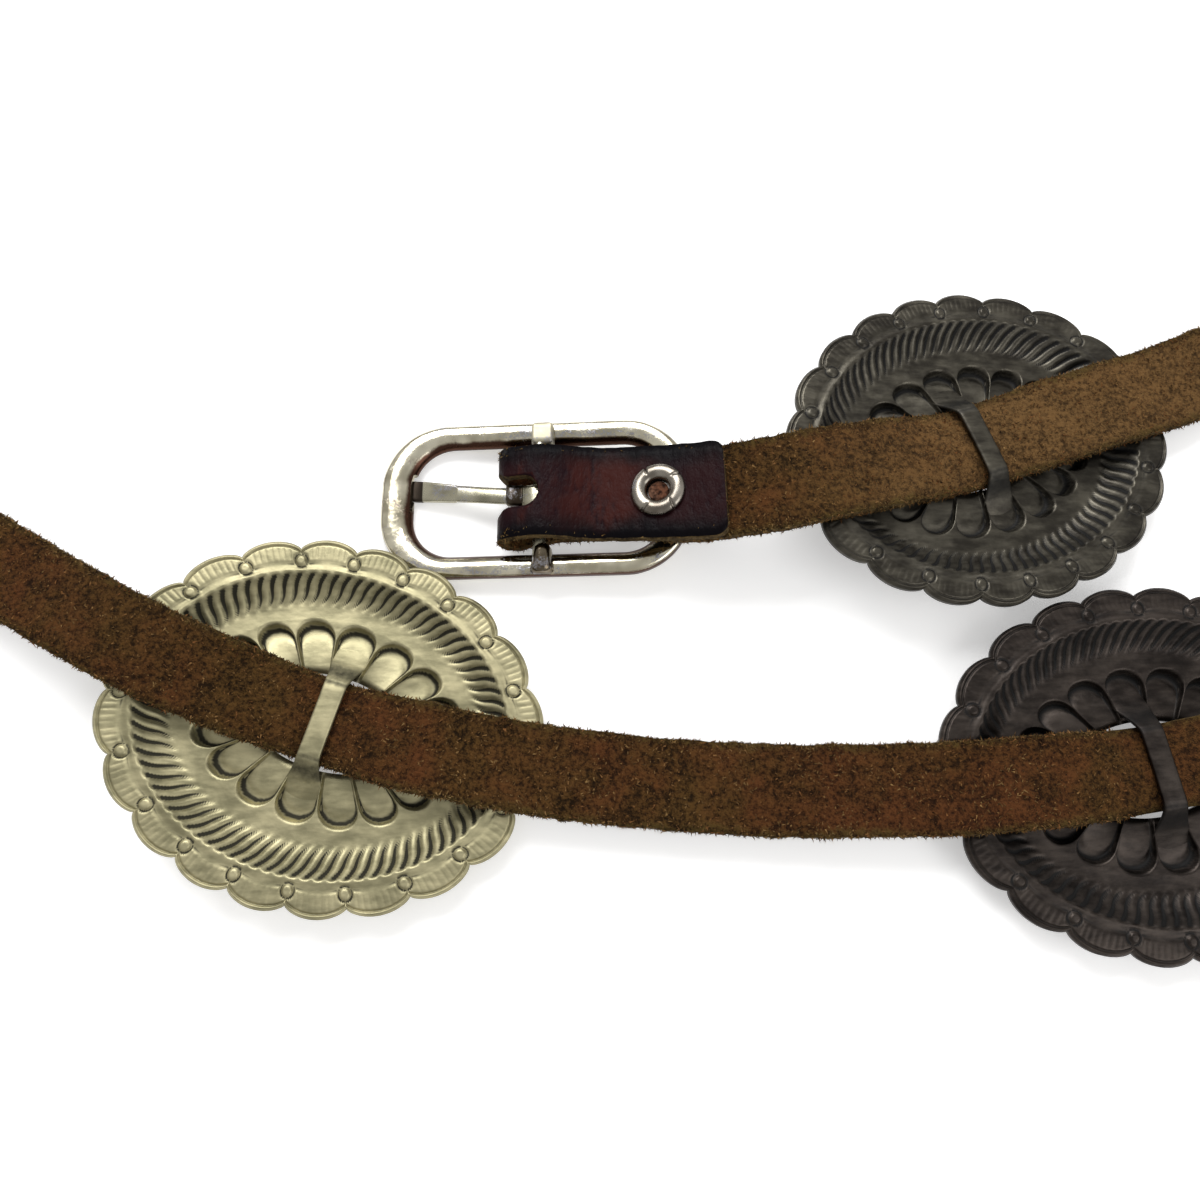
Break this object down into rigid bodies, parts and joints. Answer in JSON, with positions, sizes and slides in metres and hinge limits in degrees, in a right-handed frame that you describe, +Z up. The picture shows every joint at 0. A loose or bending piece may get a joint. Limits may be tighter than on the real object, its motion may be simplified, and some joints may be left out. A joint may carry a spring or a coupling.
{
  "type": "concho belt",
  "caption": "Concho belt lying face down: domed oval conchos with scalloped edges on a leather strap that folds round a centre bar buckle.",
  "frame": {"origin": "on the floor under the middle of the whole belt as it lies", "axes": "+X along the belt's first run from the buckle to the first conchos, +Y across it in the plane of the floor, +Z up from the floor, with the rough back of the leather up"},
  "size_m": [0.4832, 0.3754, 0.0176],
  "materials": {
    "buckle_plating": "worn nickel plate over brass, pitted",
    "rivet_plating": "worn nickel plate",
    "strap_leather": "rough suede on the back, smooth stained grain on the front",
    "plug_leather": "rough",
    "concho_pale": "antiqued nickel silver, dark in the recesses",
    "concho_dark": "heavily tarnished nickel silver"
  },
  "bodies": {
    "belt": {"strap": "strap_leather", "rivet": "rivet_plating", "rivet_plug": "plug_leather", "concho_1": "concho_dark", "concho_2": "concho_dark", "concho_3": "concho_pale", "concho_4": "concho_pale", "concho_5": "concho_pale", "concho_6": "concho_pale"},
    "buckle": {"buckle_frame": "buckle_plating"},
    "tongue": {"buckle_tongue": "buckle_plating"}
  },
  "joints": [
    {"name": "buckle_hinge", "type": "hinge", "parent": "belt", "child": "buckle", "pos_m": [0.0066, -0.09524, 0.00619], "axis": [0.0052, 1, 0], "range_deg": [0, 35]},
    {"name": "tongue_hinge", "type": "hinge", "parent": "buckle", "child": "tongue", "pos_m": [0.0066, -0.09524, 0.00619], "axis": [-0.0052, -1, 0], "range_deg": [0, 100]}
  ]
}
